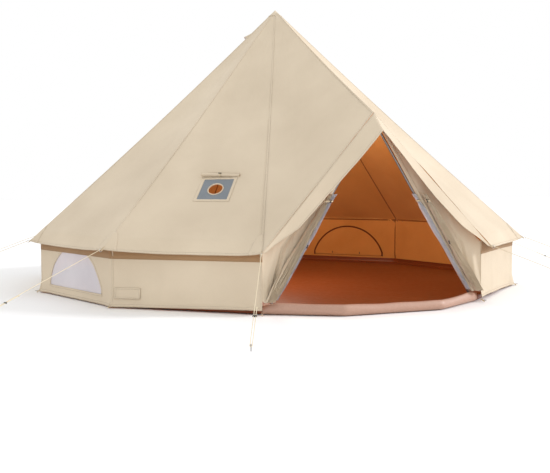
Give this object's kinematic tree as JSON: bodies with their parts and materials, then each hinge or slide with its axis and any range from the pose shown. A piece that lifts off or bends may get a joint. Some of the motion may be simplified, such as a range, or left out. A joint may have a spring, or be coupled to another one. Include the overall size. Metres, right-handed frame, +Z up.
{
  "type": "bell tent",
  "caption": "Round cone-roofed canvas tent with low walls, arched mesh windows, a framed doorway, a stove jack, steel poles and pegged guy ropes.",
  "frame": {"origin": "middle of the groundsheet's underside, on the ground under the centre pole", "axes": "+Z up along the centre pole, -Y out through the doorway, +X to the right of someone who faces the back of the tent from the door"},
  "size_m": [9.3739, 8.9717, 3.5],
  "materials": {
    "canvas": "unbleached cotton canvas, woven",
    "mesh": "fine white insect mesh",
    "pole_steel": "galvanised steel tube",
    "black_plastic": "moulded plastic",
    "groundsheet_pvc": "coated fabric, slightly glossy",
    "rim_pvc": "coated fabric, slightly glossy",
    "heatproof_cloth": "coated heat-proof cloth",
    "peg_steel": "galvanised round bar",
    "ring_steel": "bent steel wire",
    "rope": "twisted cotton rope",
    "runner": "moulded plastic"
  },
  "bodies": {
    "tent": {"groundsheet": "groundsheet_pvc", "groundsheet_rim": "rim_pvc", "centre_pole_lower": "pole_steel", "centre_pole_upper": "pole_steel", "centre_pole_foot": "black_plastic", "centre_pole_cap": "black_plastic", "door_pole_right": "pole_steel", "door_pole_left": "pole_steel", "door_pole_elbow": "black_plastic", "walls_plain": "canvas", "wall_window_1": "canvas", "wall_window_3": "canvas", "wall_window_6": "canvas", "wall_window_8": "canvas", "wall_cable_port": "canvas", "roof_right": "canvas", "roof_left": "canvas", "roof_stove_panel": "canvas", "roof_front_right": "canvas", "roof_front_left": "canvas", "door_awning": "canvas", "door_surround": "canvas", "door_canvas_right": "canvas", "door_canvas_left": "canvas", "door_mesh_right": "mesh", "door_mesh_left": "mesh", "window_meshes": "mesh", "window_rolled_flaps": "canvas", "stove_patch": "heatproof_cloth", "stove_flap": "canvas", "roof_vents": "canvas", "apex_cone": "canvas", "corner_rings": "ring_steel", "guy_pegs": "peg_steel", "wall_pegs": "peg_steel", "guy_rope_00": "rope", "guy_rope_01": "rope", "guy_rope_02": "rope", "guy_rope_03": "rope", "guy_rope_04": "rope", "guy_rope_05": "rope", "guy_rope_06": "rope", "guy_rope_07": "rope", "guy_rope_08": "rope", "guy_rope_09": "rope", "guy_rope_10": "rope"},
    "window_flap_right": {"window_flap_right": "canvas"},
    "window_flap_left": {"window_flap_left": "canvas"},
    "cable_flap": {"cable_flap": "canvas"},
    "guy_runner_00": {"guy_runner_00": "runner"},
    "guy_runner_01": {"guy_runner_01": "runner"},
    "guy_runner_02": {"guy_runner_02": "runner"},
    "guy_runner_03": {"guy_runner_03": "runner"},
    "guy_runner_04": {"guy_runner_04": "runner"},
    "guy_runner_05": {"guy_runner_05": "runner"},
    "guy_runner_06": {"guy_runner_06": "runner"},
    "guy_runner_07": {"guy_runner_07": "runner"},
    "guy_runner_08": {"guy_runner_08": "runner"},
    "guy_runner_09": {"guy_runner_09": "runner"},
    "guy_runner_10": {"guy_runner_10": "runner"}
  },
  "joints": [
    {"name": "window_flap_right_fold", "type": "hinge", "parent": "tent", "child": "window_flap_right", "pos_m": [2.09549, 1.97815, 0.097], "axis": [0.6865, -0.7272, 0], "range_deg": [0, 85]},
    {"name": "window_flap_left_fold", "type": "hinge", "parent": "tent", "child": "window_flap_left", "pos_m": [-2.09549, 1.97815, 0.097], "axis": [0.6865, 0.7272, 0], "range_deg": [0, 85]},
    {"name": "cable_flap_lift", "type": "hinge", "parent": "tent", "child": "cable_flap", "pos_m": [-2.3363, -1.817, 0.215], "axis": [-0.7655, 0.6435, 0], "range_deg": [0, 100]},
    {"name": "guy_runner_00_slide", "type": "slide", "parent": "tent", "child": "guy_runner_00", "axis": [0.6575, -0.6691, -0.3465], "range_m": [-0.12, 0.25]},
    {"name": "guy_runner_01_slide", "type": "slide", "parent": "tent", "child": "guy_runner_01", "axis": [0.8091, -0.4747, -0.3465], "range_m": [-0.12, 0.25]},
    {"name": "guy_runner_02_slide", "type": "slide", "parent": "tent", "child": "guy_runner_02", "axis": [0.9365, -0.054, -0.3465], "range_m": [-0.12, 0.25]},
    {"name": "guy_runner_03_slide", "type": "slide", "parent": "tent", "child": "guy_runner_03", "axis": [0.8298, 0.4375, -0.3465], "range_m": [-0.12, 0.25]},
    {"name": "guy_runner_04_slide", "type": "slide", "parent": "tent", "child": "guy_runner_04", "axis": [0.4845, 0.8032, -0.3465], "range_m": [-0.12, 0.25]},
    {"name": "guy_runner_05_slide", "type": "slide", "parent": "tent", "child": "guy_runner_05", "axis": [0, 0.9381, -0.3465], "range_m": [-0.12, 0.25]},
    {"name": "guy_runner_06_slide", "type": "slide", "parent": "tent", "child": "guy_runner_06", "axis": [-0.4845, 0.8032, -0.3465], "range_m": [-0.12, 0.25]},
    {"name": "guy_runner_07_slide", "type": "slide", "parent": "tent", "child": "guy_runner_07", "axis": [-0.8298, 0.4375, -0.3465], "range_m": [-0.12, 0.25]},
    {"name": "guy_runner_08_slide", "type": "slide", "parent": "tent", "child": "guy_runner_08", "axis": [-0.9365, -0.054, -0.3465], "range_m": [-0.12, 0.25]},
    {"name": "guy_runner_09_slide", "type": "slide", "parent": "tent", "child": "guy_runner_09", "axis": [-0.8091, -0.4747, -0.3465], "range_m": [-0.12, 0.25]},
    {"name": "guy_runner_10_slide", "type": "slide", "parent": "tent", "child": "guy_runner_10", "axis": [-0.389, -0.8536, -0.3465], "range_m": [-0.12, 0.25]}
  ]
}
